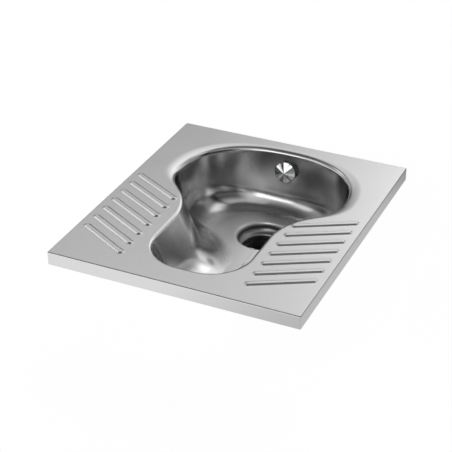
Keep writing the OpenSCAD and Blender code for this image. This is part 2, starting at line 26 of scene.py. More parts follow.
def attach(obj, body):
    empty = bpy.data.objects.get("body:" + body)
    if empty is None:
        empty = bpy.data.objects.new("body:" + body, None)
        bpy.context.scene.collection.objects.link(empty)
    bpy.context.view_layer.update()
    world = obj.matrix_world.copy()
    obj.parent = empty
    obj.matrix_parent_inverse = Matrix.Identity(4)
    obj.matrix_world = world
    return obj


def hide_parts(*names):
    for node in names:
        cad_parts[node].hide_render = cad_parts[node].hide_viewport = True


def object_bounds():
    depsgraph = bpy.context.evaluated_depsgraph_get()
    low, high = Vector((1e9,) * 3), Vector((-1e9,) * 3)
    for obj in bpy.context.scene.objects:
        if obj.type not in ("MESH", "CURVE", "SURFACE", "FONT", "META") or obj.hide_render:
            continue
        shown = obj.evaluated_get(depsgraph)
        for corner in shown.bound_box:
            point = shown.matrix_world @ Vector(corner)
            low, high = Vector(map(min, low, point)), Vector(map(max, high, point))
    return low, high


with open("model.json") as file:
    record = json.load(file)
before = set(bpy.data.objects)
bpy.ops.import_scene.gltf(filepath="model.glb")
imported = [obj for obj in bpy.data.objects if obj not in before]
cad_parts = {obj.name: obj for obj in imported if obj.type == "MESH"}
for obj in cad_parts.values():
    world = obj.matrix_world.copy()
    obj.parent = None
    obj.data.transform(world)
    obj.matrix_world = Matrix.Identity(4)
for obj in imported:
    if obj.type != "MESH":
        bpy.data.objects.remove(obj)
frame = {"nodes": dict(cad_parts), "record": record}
cad_low, cad_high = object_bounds()
print("CAD box:", tuple(round(v, 4) for v in cad_low), tuple(round(v, 4) for v in cad_high))

# %% [markdown]
# ## Sizes
#
# The visual meshes stand exactly where the CAD solids stand, so they use the same driving sizes.

# %% Sizes shared with the CAD source
PLATE_W, PLATE_D, SKIRT, SHEET, FOLD = 600, 700, 32, 1.5, 2.5
HEM, FOOT_ROUND = 14, 0.8
MOUTH_X, LOBE_W, LOBE_REACH, LOBE_Y, LOBE_POWER = 3.5, 222, 188, 126, 2.3
HIP_R, WAIST_R, WAIST_TURN = 118, 161, 42.5
TROUGH_W, TOE_Y, TOE_R = 120.5, -289.5, 100
BACK_FLANGE, SIDE_FLANGE, WELD_FLANGE = 10, 24, 3
BACK_FALL, SIDE_FALL, TOE_FALL = 0.8, 2.5, 0.3
LIP_R, SIDE_LIP_R, TOE_LIP_R = 10.5, 13, 7
BACK_SLOPE, SIDE_SLOPE, WAIST_SLOPE, TOE_SLOPE = 6, 7, 26, 19
BACK_FLOOR_R, SIDE_FLOOR_R, WAIST_FLOOR_R, TOE_FLOOR_R = 54, 88, 96, 74
WASTE_DEPTH, WASTE_Y, WASTE_R, WASTE_FLAT = 160, 155, 64, 5
WASTE_EDGE, WASTE_NECK = 8, 3
CUP_SIDE, CUP_R, CUP_FALL, SHOULDER_R, NECK_LEN = 7, 14, 20, 5, 12
SPIGOT_R, SPIGOT_WALL, SPIGOT_LEN = 55, 2, 57
RISE_FRONT, RISE_BACK, FLOOR_EASE = 0.18, 0.08, 60
RIB_COUNT, RIB_FOOT, RIB_TOP, RIB_H = 7, 16.5, 8.5, 3
INLET_DROP, SEAT_R, SEAT_BLEND, SEAT_BAND, SEAT_FRONT = 51, 27, 5, 20, 0.9
SEAT_BACK = -SHEET - 0.2
THREAD_GAP, SEAT_GAP = 0.1, 0.3
SEAL_DROP, SEAL_H, SEAL_GROOVE = 3, 18, 0.8
CAP_R, CAP_H, CAP_Z, CAP_EDGE = 28, 12, 8.9, 1.6
CAP_TIP_R, STEM_R, STEM_BORE, STEM_NECK, BORE_DEPTH = 1.55, 4.5, 3.1, 0.8, 3.5
RIB_SLANT, RIB_IN, RIB_OUT, RIB_BACK, RIB_FRONT = 29, 153.5, 275.5, 13, -248
RIB_X = (RIB_IN + RIB_OUT) / 2
RIB_LEN = (RIB_OUT - RIB_IN) / math.cos(math.radians(RIB_SLANT))
RIB_PITCH = (RIB_BACK - RIB_FRONT) / (RIB_COUNT - 1)

# %% [markdown]
# ## Small tools
#
# `solid` turns arrays of points and faces into a mesh object, in metres, with smooth normals and sharp
# edges where two faces meet at more than the crease angle.
# `skin` closes a stack of rings with quads, which is all a pressed or turned piece needs.

# %% Mesh helpers
CREASE = math.radians(40)


def solid(name, points, faces, replaces=(), uv=None):
    shape = bmesh.new()
    lifted = (np.array(points, float) + [0, 0, SKIRT]) / 1000
    verts = [shape.verts.new(p) for p in lifted.tolist()]
    layer = shape.loops.layers.uv.new("UVMap") if uv is not None else None
    for corners in faces:
        face = shape.faces.new([verts[i] for i in corners])
        face.smooth = True
        if uv is not None:
            for loop, i in zip(face.loops, corners):
                loop[layer].uv = uv[i]
    bmesh.ops.remove_doubles(shape, verts=shape.verts, dist=1e-6)
    bmesh.ops.recalc_face_normals(shape, faces=shape.faces)
    for edge in shape.edges:
        edge.smooth = len(edge.link_faces) == 2 and edge.calc_face_angle() < CREASE
    mesh = bpy.data.meshes.new(name)
    shape.to_mesh(mesh)
    shape.free()
    thing = bpy.data.objects.new(name, mesh)
    bpy.context.collection.objects.link(thing)
    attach(thing, "root")
    if replaces:
        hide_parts(*replaces)
    return thing


def skin(ring_count, ring_size, first=0):
    faces = []
    for r in range(ring_count - 1):
        for i in range(ring_size):
            j = (i + 1) % ring_size
            a, b = first + r * ring_size, first + (r + 1) * ring_size
            faces.append((a + i, a + j, b + j, b + i))
    return faces


def ease(t):
    u = np.clip(t, 0, 1)
    return u * u * (3 - 2 * u)


def mix(a, b, t):
    return a + (b - a) * t


# %% [markdown]
# ## The bowl
#
# A press draws the bowl from flat sheet, so every section down its wall is the same chain of simple
# curves: a flange that falls gently, a rolled lip, a straight wall that leans a little so that the
# tool comes out, a fillet, and a floor that falls to the waste. Only the sizes of those curves change
# on the way round the mouth. So the bowl is a loft: one row of stations round the mouth, and one
# section down from each.

# %% Stations round the mouth
def arc(n, start, turn, centre, radius, place0, place1):
    t = np.radians(start + turn * np.arange(1, n + 1) / n)
    return np.column_stack([centre[0] + radius * np.sin(t), centre[1] + radius * np.cos(t), t,
                            mix(place0, place1, np.arange(1, n + 1) / n)])


def line(n, a, b, bearing, place0, place1):
    u = np.arange(1, n + 1) / n
    return np.column_stack([mix(a[0], b[0], u), mix(a[1], b[1], u), np.full(n, bearing),
                            mix(place0, place1, u)])


def lobe_points(t):
    out = np.column_stack([np.sin(t), np.cos(t)]).clip(0) ** (2 / LOBE_POWER)
    facing = out ** (LOBE_POWER - 1) / (LOBE_W, LOBE_REACH)
    return np.column_stack([LOBE_W * out[:, 0], LOBE_Y + LOBE_REACH * out[:, 1],
                            np.arctan2(facing[:, 0], facing[:, 1]), t / (math.pi / 2)])


fine = np.radians(np.linspace(0, 90, 2001))
steps = np.linalg.norm(np.diff(lobe_points(fine)[:, :2], axis=0), axis=1)
walked = np.concatenate([[0], np.cumsum(steps)])
lobe = lobe_points(np.interp(np.linspace(0, walked[-1], 76), walked, fine))
hip = arc(20, 90, WAIST_TURN, (LOBE_W - HIP_R, LOBE_Y), HIP_R, 1, 1.7)
turn = math.radians(WAIST_TURN)
slant = (hip[-1, 0] - WAIST_R * (1 - math.cos(turn)) - TROUGH_W) / math.sin(turn)
slant_end = hip[-1, :2] + slant * np.array([-math.sin(turn), -math.cos(turn)])
slope_line = line(5, hip[-1], slant_end, math.pi / 2 + turn, 1.7, 2)
waist_centre = slant_end + WAIST_R * np.array([math.cos(turn), -math.sin(turn)])
back_turn = math.pi / 2 + turn - turn * np.arange(1, 33) / 32
waist = np.column_stack([waist_centre[0] - WAIST_R * np.sin(back_turn),
                         waist_centre[1] - WAIST_R * np.cos(back_turn), back_turn,
                         2 + np.arange(1, 33) / 32])
trough = line(18, waist[-1], (TROUGH_W, TOE_Y + TOE_R), math.pi / 2, 3, 4)
toe = arc(34, 90, 90, (TROUGH_W - TOE_R, TOE_Y + TOE_R), TOE_R, 4, 5)
toe_front = line(8, toe[-1], (0, TOE_Y), math.pi, 5, 5)
right = np.vstack([lobe, hip, slope_line, waist, trough, toe, toe_front])
left = right[-2:0:-1] * [-1, 1, -1, 1]
stations = np.vstack([right, left])
at = stations[:, :2]
outward = np.column_stack([np.sin(stations[:, 2]), np.cos(stations[:, 2])])
place = stations[:, 3]
print("stations round the mouth:", len(stations))

# %% Sizes of the section at each station
def along(back, side, waist_value, toe_value):
    return np.where(place < 1, mix(back, side, ease(place)),
                    np.where(place < 3, mix(side, waist_value, ease((place - 1) / 2)),
                             mix(waist_value, toe_value, ease((place - 3) / 1.5))))


def flanged(back, side, weld):
    return np.where(place < 1, mix(back, side, ease(place)), mix(side, weld, ease((place - 1) / 1.1)))


flange_w = flanged(BACK_FLANGE, SIDE_FLANGE, WELD_FLANGE)
flange_fall = flanged(BACK_FALL, SIDE_FALL, TOE_FALL)
lip_r = along(LIP_R, SIDE_LIP_R, mix(LIP_R, TOE_LIP_R, 0.7), TOE_LIP_R)
slope = np.radians(along(BACK_SLOPE, SIDE_SLOPE, WAIST_SLOPE, TOE_SLOPE))
floor_r = along(BACK_FLOOR_R, SIDE_FLOOR_R, WAIST_FLOOR_R, TOE_FLOOR_R)
waste_c = np.array([0.0, WASTE_Y])
edge_r = WASTE_R + WASTE_EDGE
flat_r = edge_r + WASTE_FLAT


def floor_z(p):
    d = np.linalg.norm(p - waste_c, axis=-1)
    out = np.maximum(0, d - flat_r)
    ahead = (1 - (p[..., 1] - WASTE_Y) / d) / 2
    return -WASTE_DEPTH + mix(RISE_BACK, RISE_FRONT, ahead ** 2) * out * out / (out + FLOOR_EASE)


# %% The foot of each wall, settled by repetition
lip_start = np.arctan(2 * flange_fall / flange_w)
reach = np.full(len(at), 60.0)
for _ in range(12):
    foot = at - outward * reach[:, None]
    foot_slope = np.arctan((floor_z(foot + outward) - floor_z(foot - outward)) / 2)
    height = -floor_z(foot) - flange_fall
    wall_len = (height - lip_r * (np.cos(lip_start) - np.sin(slope))
                - floor_r * (np.cos(foot_slope) - np.sin(slope))) / np.cos(slope)
    reach = (lip_r * (np.cos(slope) - np.sin(lip_start)) + wall_len * np.sin(slope)
             + floor_r * (np.cos(slope) - np.sin(foot_slope)))
print("walls are", round(float(wall_len.min()), 1), "to", round(float(wall_len.max()), 1), "mm long")

# %% The bowl's rings, from the flange's edge to the waste
rings = []


def ring(a, z):
    rings.append(np.column_stack([at - outward * np.reshape(a, (-1, 1)), z]))


for u in np.linspace(0, 1, 13) ** 1.5:
    ring(flange_w * (u - 1), -flange_fall * u * u)
flange_end = len(rings) - 1
wall_tangent = math.pi / 2 - slope
for u in np.linspace(0, 1, 11)[1:]:
    t = mix(lip_start, wall_tangent, u)
    ring(lip_r * (np.sin(t) - np.sin(lip_start)), -flange_fall - lip_r * (np.cos(lip_start) - np.cos(t)))
lip_end = len(rings) - 1
lip_a = lip_r * (np.sin(wall_tangent) - np.sin(lip_start))
lip_z = -flange_fall - lip_r * (np.cos(lip_start) - np.cos(wall_tangent))
for u in np.linspace(0, 1, 15)[1:]:
    ring(lip_a + wall_len * np.sin(slope) * u, lip_z - wall_len * np.cos(slope) * u)
wall_end = len(rings) - 1
foot_a = lip_a + wall_len * np.sin(slope)
foot_z = lip_z - wall_len * np.cos(slope)
for u in np.linspace(0, 1, 23)[1:]:
    t = mix(wall_tangent, foot_slope, u)
    ring(foot_a + floor_r * (np.sin(wall_tangent) - np.sin(t)),
         foot_z - floor_r * (np.cos(t) - np.cos(wall_tangent)))
toward = foot - waste_c
far = np.linalg.norm(toward, axis=1)
toward = toward / far[:, None]
for u in np.linspace(0, 1, 29)[1:]:
    p = waste_c + toward * mix(far, flat_r, u)[:, None]
    rings.append(np.column_stack([p, floor_z(p)]))
for u in np.radians(np.linspace(0, 90, 13)):
    p = waste_c + toward * (edge_r - WASTE_EDGE * math.sin(u))
    rings.append(np.column_stack([p, np.full(len(p), -WASTE_DEPTH - WASTE_EDGE * (1 - math.cos(u)))]))
rings.append(rings[-1] - [0, 0, WASTE_NECK])

# %% The bowl's underside, a sheet's thickness behind
def behind(rings, depth):
    grid = np.array(rings)
    across = np.roll(grid, -1, axis=1) - np.roll(grid, 1, axis=1)
    down = np.gradient(grid, axis=0)
    normal = np.cross(across, down)
    normal /= np.linalg.norm(normal, axis=2, keepdims=True)
    normal *= np.sign(normal[5, 0, 2])
    return list(grid - normal * depth)


rings = [r + [MOUTH_X, 0, 0] for r in rings]
seat_tilt = math.radians(BACK_SLOPE)
inlet_axis = np.array([0, -math.cos(seat_tilt), math.sin(seat_tilt)])
lip_run = LIP_R * (math.cos(seat_tilt) - math.sin(lip_start[0]))
lip_drop = BACK_FALL + LIP_R * (math.cos(lip_start[0]) - math.sin(seat_tilt))
inlet = np.array([MOUTH_X, LOBE_Y + LOBE_REACH - lip_run - (INLET_DROP - lip_drop) * math.tan(seat_tilt),
                  -INLET_DROP])


def pressed_seat(points, level):
    away = points - inlet
    height = away @ inlet_axis
    apart = np.linalg.norm(away - np.outer(height, inlet_axis), axis=1)
    blend = ease((SEAT_R + SEAT_BLEND - apart) / SEAT_BLEND) * (np.abs(height) < SEAT_BAND)
    return points + np.outer(blend * (level - height), inlet_axis)


under = behind(rings, SHEET)
rings = [pressed_seat(r, SEAT_FRONT) for r in rings]
under = [pressed_seat(r, SEAT_BACK) for r in under]
under[0][:, :2] = rings[0][:, :2]
under[0][:, 2] = -SHEET
loft = rings + under[::-1] + [rings[0]]
n = len(at)
run = np.concatenate([[0], np.cumsum(np.linalg.norm(np.diff(at, axis=0), axis=1))])
drop = np.cumsum([0] + [float(np.linalg.norm(b - a, axis=1).mean()) for a, b in zip(loft, loft[1:])])
# Rows where the bowl's finish changes: where the floor's painted light begins, where the rough worn floor
# begins, and where both are full.
painted_light_from, worn_from, worn_and_painted_light_full = wall_end + 3, wall_end + 13, wall_end + 25
LIP_STARTS, WALL_STARTS, PAINTED_LIGHT_STARTS, FLOOR_STARTS, FLOOR_FULL = (
    float(drop[i]) / 1000 for i in (flange_end, lip_end, painted_light_from, worn_from, worn_and_painted_light_full))
bowl = solid("pressed_bowl", np.vstack(loft), skin(len(loft), n), ["bowl"],
             uv=[(run[i] / 1000, drop[r] / 1000) for r in range(len(loft)) for i in range(n)])
print("bowl:", len(bowl.data.vertices), "points")

# %% [markdown]
# ## Turned pieces
#
# The waste's cup and spigot and the chrome spreader are all round, so each is one closed outline spun
# about its axis. The outline keeps a real sheet's thickness, with small rounds at its edges.

# %% Spin a closed outline of (radius, height) about an axis
def spun(name, outline, replaces, origin, axis=(0, 0, 1), steps=128):
    axis = np.array(axis, float)
    side = np.cross((1, 0, 0) if abs(axis[0]) < 0.9 else (0, 1, 0), axis)
    side /= np.linalg.norm(side)
    other = np.cross(axis, side)
    t = np.linspace(0, 2 * math.pi, steps, endpoint=False)
    spokes = np.outer(np.cos(t), side) + np.outer(np.sin(t), other)
    stack = [np.array(origin) + spokes * max(r, 0.001) + axis * z for r, z in list(outline) + [outline[0]]]
    return solid(name, np.vstack(stack), skin(len(stack), steps), replaces)


def bend(centre, radius, start, end, steps=10):
    t = np.radians(np.linspace(start, end, steps))
    return [(centre[0] + radius * math.cos(a), centre[1] + radius * math.sin(a)) for a in t]


# %% The waste's cup: straight side, rounded floor, and a neck that enters the spigot
cup_z = -WASTE_DEPTH - WASTE_EDGE
cup_in = WASTE_R + SHEET + THREAD_GAP
neck_in = SPIGOT_R - SPIGOT_WALL - THREAD_GAP - SHEET
fall = math.radians(CUP_FALL)
curve_z = cup_z - CUP_SIDE
cup_end_r = cup_in - CUP_R * (1 - math.sin(fall))
shoulder_r = neck_in + SHOULDER_R * (1 - math.sin(fall))
shoulder_z = (curve_z - CUP_R * math.cos(fall) - (cup_end_r - shoulder_r) * math.tan(fall)
              - SHOULDER_R * math.cos(fall))


def cup_side(t):
    lower = bend((cup_in - CUP_R, curve_z), CUP_R + t, 0, CUP_FALL - 90, 14)
    upper = bend((neck_in + SHOULDER_R, shoulder_z), SHOULDER_R - t, 90 + CUP_FALL, 180)
    return [(cup_in + t, cup_z)] + lower + upper + [(neck_in + t, shoulder_z - NECK_LEN)]


waste = (MOUTH_X, WASTE_Y, 0)
cup = spun("waste_cup", cup_side(0) + cup_side(SHEET)[::-1], ["waste_collar"], waste)
spigot_top = shoulder_z - SEAT_GAP
spigot_foot = spigot_top - SPIGOT_LEN
spigot_bore = SPIGOT_R - SPIGOT_WALL
seal_top = spigot_top - SEAL_DROP
seal_foot = seal_top - SEAL_H
spigot = spun("outlet_spigot", [
    (spigot_bore, spigot_top), (SPIGOT_R - 0.3, spigot_top), (SPIGOT_R, spigot_top - 0.3),
    (SPIGOT_R, seal_top), (SPIGOT_R - SEAL_GROOVE, seal_top), (SPIGOT_R - SEAL_GROOVE, seal_foot),
    (SPIGOT_R, seal_foot), (SPIGOT_R, spigot_foot + 0.5), (SPIGOT_R - 0.5, spigot_foot),
    (spigot_bore + 0.4, spigot_foot), (spigot_bore, spigot_foot + 0.4)],
    ["waste_spigot"], waste)
print("spigot ends at", round(spigot_foot, 2))

# %% The spreader: a shallow turned cone with a rounded rim, on its boss
rim_centre = (CAP_R - CAP_EDGE, CAP_Z + CAP_EDGE)
tip_z = CAP_Z + CAP_H
stem_foot = SEAT_FRONT + 2.1
spreader = spun("spreader", [(0.01, tip_z - 0.35), (0.6, tip_z - 0.42)]
                + bend((0.2, tip_z - CAP_TIP_R - 0.35), CAP_TIP_R, 75, 66, 3)
                + bend(rim_centre, CAP_EDGE, 68, -90, 14)
                + [(CAP_R - 6, CAP_Z), (STEM_R + STEM_NECK, CAP_Z), (STEM_R, CAP_Z - STEM_NECK),
                   (STEM_R, stem_foot), (STEM_BORE, stem_foot),
                   (STEM_BORE, CAP_Z + BORE_DEPTH), (0.01, CAP_Z + BORE_DEPTH)],
                ["spreader_cap"], inlet, inlet_axis)
print("spreader:", len(spreader.data.vertices), "points")

# %% [markdown]
# ## The deck
#
# The plate is folded down at its four edges and turned in underneath. The ribs are pressed up from
# it, so each one has soft feet and a nearly flat top. The flat part is triangulated round the mouth
# and the ribs' feet, which keeps it truly flat, and the ribs and edges are lofted on to it.

# %% A rib's rings: a long round-ended outline, drawn in and up
rib_run = (RIB_FOOT - RIB_TOP) / 2
foot_half, top_half = RIB_FOOT / 2, RIB_TOP / 2
rib_profile = [(foot_half + 1.2, 0), (foot_half + 0.5, 0.05), (foot_half - 0.2, 0.28),
               (foot_half - 0.22 * rib_run, 0.24 * RIB_H), (top_half + 0.22 * rib_run, 0.78 * RIB_H),
               (top_half + 0.2, 0.93 * RIB_H), (top_half - 0.5, 0.985 * RIB_H), (top_half - 1.4, RIB_H)]


def rib_rings(side, index):
    angle = math.radians(RIB_SLANT) * side
    centre = np.array([side * RIB_X, RIB_BACK - index * RIB_PITCH])
    axis = np.array([math.cos(angle), math.sin(angle)])
    across = np.array([-axis[1], axis[0]])
    round_end = np.radians(np.linspace(-90, 90, 15))
    out = []
    for width, z in rib_profile:
        ends = [centre + np.outer(sign * (RIB_LEN / 2 + width * np.cos(round_end)), axis)
                + np.outer(sign * width * np.sin(round_end), across) for sign in (1, -1)]
        loop = np.vstack(ends)
        out.append(np.column_stack([loop, np.full(len(loop), z)]))
    return out


ribs = [rib_rings(side, index) for side in (-1, 1) for index in range(RIB_COUNT)]
print("ribs:", len(ribs), "of", len(ribs[0][0]), "points a ring")

# %% The flat of the plate
flat_x, flat_y = PLATE_W / 2 - FOLD, PLATE_D / 2 - FOLD
corner = [(flat_x, flat_y), (-flat_x, flat_y), (-flat_x, -flat_y), (flat_x, -flat_y)]
border, facing = [], []
for k, (a, b) in enumerate(zip(corner, corner[1:] + corner[:1])):
    for u in np.linspace(0, 1, 21):
        border.append((mix(a[0], b[0], u), mix(a[1], b[1], u)))
        facing.append(90 * k + 90)
    for turned_by in (22.5, 45, 67.5):
        border.append(b)
        facing.append(90 * k + 90 + turned_by)
border, facing = np.array(border), np.radians(facing)
push = np.column_stack([np.cos(facing), np.sin(facing)])
plain_border = np.array([p for i, p in enumerate(border) if np.linalg.norm(p - border[i - 1]) > 0.1])
mouth_edge = rings[0][:, :2]
loops = [plain_border, mouth_edge] + [r[0][:, :2] for r in ribs]
points, edges = [], []
for loop in loops:
    start = len(points)
    points += [Vector(p) for p in loop.tolist()]
    edges += [(start + i, start + (i + 1) % len(loop)) for i in range(len(loop))]


def inside(p, loop):
    x, y = p[:, 0][:, None], p[:, 1][:, None]
    a, b = loop, np.roll(loop, -1, axis=0)
    crosses = (a[:, 1] > y) != (b[:, 1] > y)
    with np.errstate(divide="ignore", invalid="ignore"):
        at_x = (b[:, 0] - a[:, 0]) * (y - a[:, 1]) / (b[:, 1] - a[:, 1]) + a[:, 0]
    return (crosses & (x < at_x)).sum(axis=1) % 2 == 1


GRID_STEP, GRID_GAP = 15.0, 5
across_n, along_n = (int((half - GRID_GAP) // GRID_STEP) for half in (flat_x, flat_y))
grid = GRID_STEP * np.array([(x, y) for x in range(-across_n, across_n + 1)
                             for y in range(-along_n, along_n + 1)])
keep = ~inside(grid, mouth_edge)
for loop in loops[1:]:
    gap = np.linalg.norm(grid[:, None] - loop[None], axis=2).min(axis=1)
    keep &= gap > GRID_GAP
for r in ribs:
    keep &= ~inside(grid, r[0][:, :2])
points += [Vector(p) for p in grid[keep].tolist()]
flat_points, _, flat_faces, _, _, _ = delaunay_2d_cdt(points, edges, [], 0, 1e-6)
flat_points = np.array([tuple(p) for p in flat_points])
middle = np.array([flat_points[list(f)].mean(axis=0) for f in flat_faces])
hole = inside(middle, mouth_edge)
for r in ribs:
    hole |= inside(middle, r[0][:, :2])
deck_points = [np.column_stack([flat_points, np.zeros(len(flat_points))])]
deck_faces = [tuple(f) for f, gone in zip(flat_faces, hole) if not gone]
print("plate:", len(deck_faces), "faces")

# %% Ribs, folded edges, skirt, hem and the plate's underside
def add_rings(stack, cap=False):
    first = sum(len(p) for p in deck_points)
    for r in stack:
        deck_points.append(r)
    size = len(stack[0])
    deck_faces.extend(skin(len(stack), size, first))
    if cap:
        half = size // 2
        top = first + (len(stack) - 1) * size
        for i in range(half - 1):
            deck_faces.append((top + i, top + i + 1, top + size - 2 - i, top + size - 1 - i))


for r in ribs:
    add_rings(r, cap=True)
edge_rings = []


def edge_ring(out, z):
    edge_rings.append(np.column_stack([border + push * out, np.full(len(border), float(z))]))


for t in np.radians(np.linspace(0, 90, 9)):
    edge_ring(FOLD * math.sin(t), -FOLD * (1 - math.cos(t)))
for z in (-10, -20, -SKIRT + FOOT_ROUND):
    edge_ring(FOLD, z)
edge_ring(FOLD - 0.25, -SKIRT + 0.2)
edge_ring(FOLD - FOOT_ROUND, -SKIRT)
edge_ring(FOLD - SHEET, -SKIRT)
add_rings(edge_rings)
inward = np.sign(border) * (np.abs(np.abs(border) - (flat_x, flat_y)) < 0.01)
skirt_back = border + push * (FOLD - SHEET)
hem_edge = border - inward * (HEM - FOLD)
hem = [(skirt_back, -SKIRT), (hem_edge, -SKIRT), (hem_edge, -SKIRT + SHEET), (skirt_back, -SKIRT + SHEET),
       (skirt_back, -FOLD), (border, -SHEET)]
add_rings([np.column_stack([outline, np.full(len(border), float(z))]) for outline, z in hem])
first = sum(len(p) for p in deck_points)
deck_points.append(np.column_stack([flat_points, np.full(len(flat_points), -SHEET)]))
deck_faces += [tuple(first + i for i in reversed(f)) for f, gone in zip(flat_faces, hole) if not gone]
for r in ribs:
    add_rings([loop - [0, 0, SHEET] for loop in r], cap=True)
add_rings([rings[0], rings[0] - [0, 0, SHEET]])
deck = solid("deck_plate", np.vstack(deck_points), deck_faces, ["deck"])
level = deck.modifiers.new("level", "WEIGHTED_NORMAL")
level.keep_sharp = True
print("deck:", len(deck.data.polygons), "faces")

# %% [markdown]
# ## Finishes
#
# Satin stainless steel is a metal with very fine polishing lines. They are too fine to see one by
# one, and show as a soft, slightly streaky gloss. Each finish below is a short formula, so first come
# two small classes: `Val` lets a socket be added and multiplied like a number, and `Tree` makes any
# other node from its type, its settings and its values.

# %% A small language for shader nodes
class Val:
    def __init__(self, tree, socket):
        self.tree, self.socket = tree, socket

    def maths(self, operation, first, second):
        return self.tree.node("ShaderNodeMath", {"operation": operation}, [first, second])

    def __add__(self, other):
        return self.maths("ADD", self, other)

    def __radd__(self, other):
        return self.maths("ADD", other, self)

    def __sub__(self, other):
        return self.maths("SUBTRACT", self, other)

    def __rsub__(self, other):
        return self.maths("SUBTRACT", other, self)

    def __mul__(self, other):
        return self.maths("MULTIPLY", self, other)

    def __rmul__(self, other):
        return self.maths("MULTIPLY", other, self)

    def __truediv__(self, other):
        return self.maths("DIVIDE", self, other)

    def __rtruediv__(self, other):
        return self.maths("DIVIDE", other, self)


class Tree:
    def __init__(self, tree):
        self.tree = tree
        tree.nodes.clear()

    def put(self, value, socket):
        if isinstance(value, Val):
            self.tree.links.new(value.socket, socket)
        else:
            socket.default_value = value

    def node(self, kind, settings=None, values=(), output=0, stops=None):
        made = self.tree.nodes.new(kind)
        for key, value in (settings or {}).items():
            setattr(made, key, value)
        if stops:
            ramp = made.color_ramp
            while len(ramp.elements) > 1:
                ramp.elements.remove(ramp.elements[-1])
            for i, (where, level) in enumerate(stops):
                stop = ramp.elements[0] if i == 0 else ramp.elements.new(where)
                stop.position, stop.color = where, (level, level, level, 1)
        pairs = values.items() if isinstance(values, dict) else enumerate(values)
        for key, value in pairs:
            if value is not None:
                self.put(value, made.inputs[key])
        return Val(self, made.outputs[output]) if made.outputs else None

    def outputs(self, kind, names, values=()):
        made = self.node(kind, {}, values).socket.node
        return [Val(self, made.outputs[name]) for name in names]

    def vector(self, operation, values, output=0):
        return self.node("ShaderNodeVectorMath", {"operation": operation}, values, output)

    def ramped(self, value, start, end, first=0.0, last=1.0):
        return self.node("ShaderNodeMapRange", {"interpolation_type": "SMOOTHSTEP"},
                         [value, start, end, first, last])

    def mixed(self, share, first, second):
        return self.node("ShaderNodeMix", {"data_type": "RGBA"}, {0: share, 6: first, 7: second}, output=2)


def material(name, build):
    made = bpy.data.materials.new(name)
    made.use_nodes = True
    tree = Tree(made.node_tree)
    shader = build(tree)
    tree.node("ShaderNodeOutputMaterial", {}, {"Surface": shader})
    return made


# %% Noise, bump, grey and metal, which all the finishes use
def noise(tree, place, scale, detail=2.0):
    spread = tree.vector("MULTIPLY", [place, scale])
    return tree.node("ShaderNodeTexNoise", {}, {"Vector": spread, "Scale": 1.0, "Detail": detail}) - 0.5


def on_object(tree):
    return tree.node("ShaderNodeTexCoord", output="Object")


def bumped(tree, height, depth, strength=1.0, normal=None):
    return tree.node("ShaderNodeBump", {}, {"Height": height, "Strength": strength, "Distance": depth,
                                            "Normal": normal})


def metal(tree, colour, rough, normal):
    return tree.node("ShaderNodeBsdfPrincipled", {}, {
        "Base Color": colour, "Metallic": 1.0, "Roughness": rough, "Normal": normal})


def grey(tree, level, tint=(1, 1, 1)):
    return tree.vector("SCALE", {0: tint, "Scale": level})


# %% [markdown]
# The sheet itself is satin: long fine lines in the roughness and the bump, over a cloud that keeps the
# tone from being quite even. A picture of brushed metal would repeat and blur close up, so both are
# noise, and the lines are noise stretched along one axis. The deck adds a thin dark line along its
# bend. The fold's own reflection is too faint to draw it, so the line is painted shade in the deck's
# colour. In the bowl the finish changes down the wall, which the second UV value measures in metres
# from the flange's edge: the rim is like the deck; the drawn wall is painted darker, a painted shade,
# and is smoother and gently wavy; and the floor is rough from wear and painted pale, painted light for
# the bright reflections it shows.

# %% Satin sheet
def satin(tree, level=0.72, rough=0.30, shade=1.0):
    here = on_object(tree)
    fine = noise(tree, here, (900, 900, 60), 3.0)
    cloud = noise(tree, here, (9, 9, 9))
    return metal(tree, grey(tree, (cloud * 0.06 + level) * shade), fine * 0.10 + cloud * 0.08 + rough,
                 bumped(tree, fine, 0.00004))


# %% The deck's satin, with a painted dark line at the bend
# Painted shade: a thin band just under the plate's top, along the bend, is darkened in the colour.
PAINTED_LINE_DROP, PAINTED_LINE_CORE, PAINTED_LINE_EDGE, PAINTED_LINE_SHADE = 0.75, 0.3, 0.8, 0.35


def deck_satin_painted_bend(tree):
    height, = tree.outputs("ShaderNodeSeparateXYZ", ["Z"], [on_object(tree)])
    painted_line_z = (SKIRT - PAINTED_LINE_DROP) / 1000
    from_painted_line = tree.node("ShaderNodeMath", {"operation": "ABSOLUTE"}, [height - painted_line_z])
    return satin(tree, shade=tree.ramped(from_painted_line, PAINTED_LINE_CORE / 1000, PAINTED_LINE_EDGE / 1000, PAINTED_LINE_SHADE, 1.0))


# %% The bowl's satin, from the rim down to the floor, with painted shade and painted light
def satin_bowl(tree):
    here = on_object(tree)
    drop_v, = tree.outputs("ShaderNodeSeparateXYZ", ["Y"], [tree.node("ShaderNodeTexCoord", output="UV")])
    low = tree.ramped(drop_v, FLOOR_STARTS, FLOOR_FULL)
    rim = tree.ramped(drop_v, LIP_STARTS, WALL_STARTS, 1.0, 0.0)
    # Painted light: the colour grows pale from just below the wall down to the floor.
    pale = tree.ramped(drop_v, PAINTED_LIGHT_STARTS, FLOOR_FULL)
    fine = noise(tree, here, (700, 700, 25), 3.0)
    waves = noise(tree, here, (24, 24, 3), 1.0)
    drawn = (1 - rim) * (1 - low)
    # The wall's colour sits 0.22 below the rim's, a painted shade, and the floor's is up to 0.42 paler, a
    # painted light; the waves vary the wall's tone at random.
    level = pale * 0.42 + waves * 0.24 * drawn + rim * 0.22 + 0.50
    rough = low * 0.24 + fine * 0.08 + rim * 0.10 + 0.19
    return metal(tree, grey(tree, level), rough,
                 bumped(tree, fine, 0.00003, normal=bumped(tree, waves * drawn, 0.0006)))


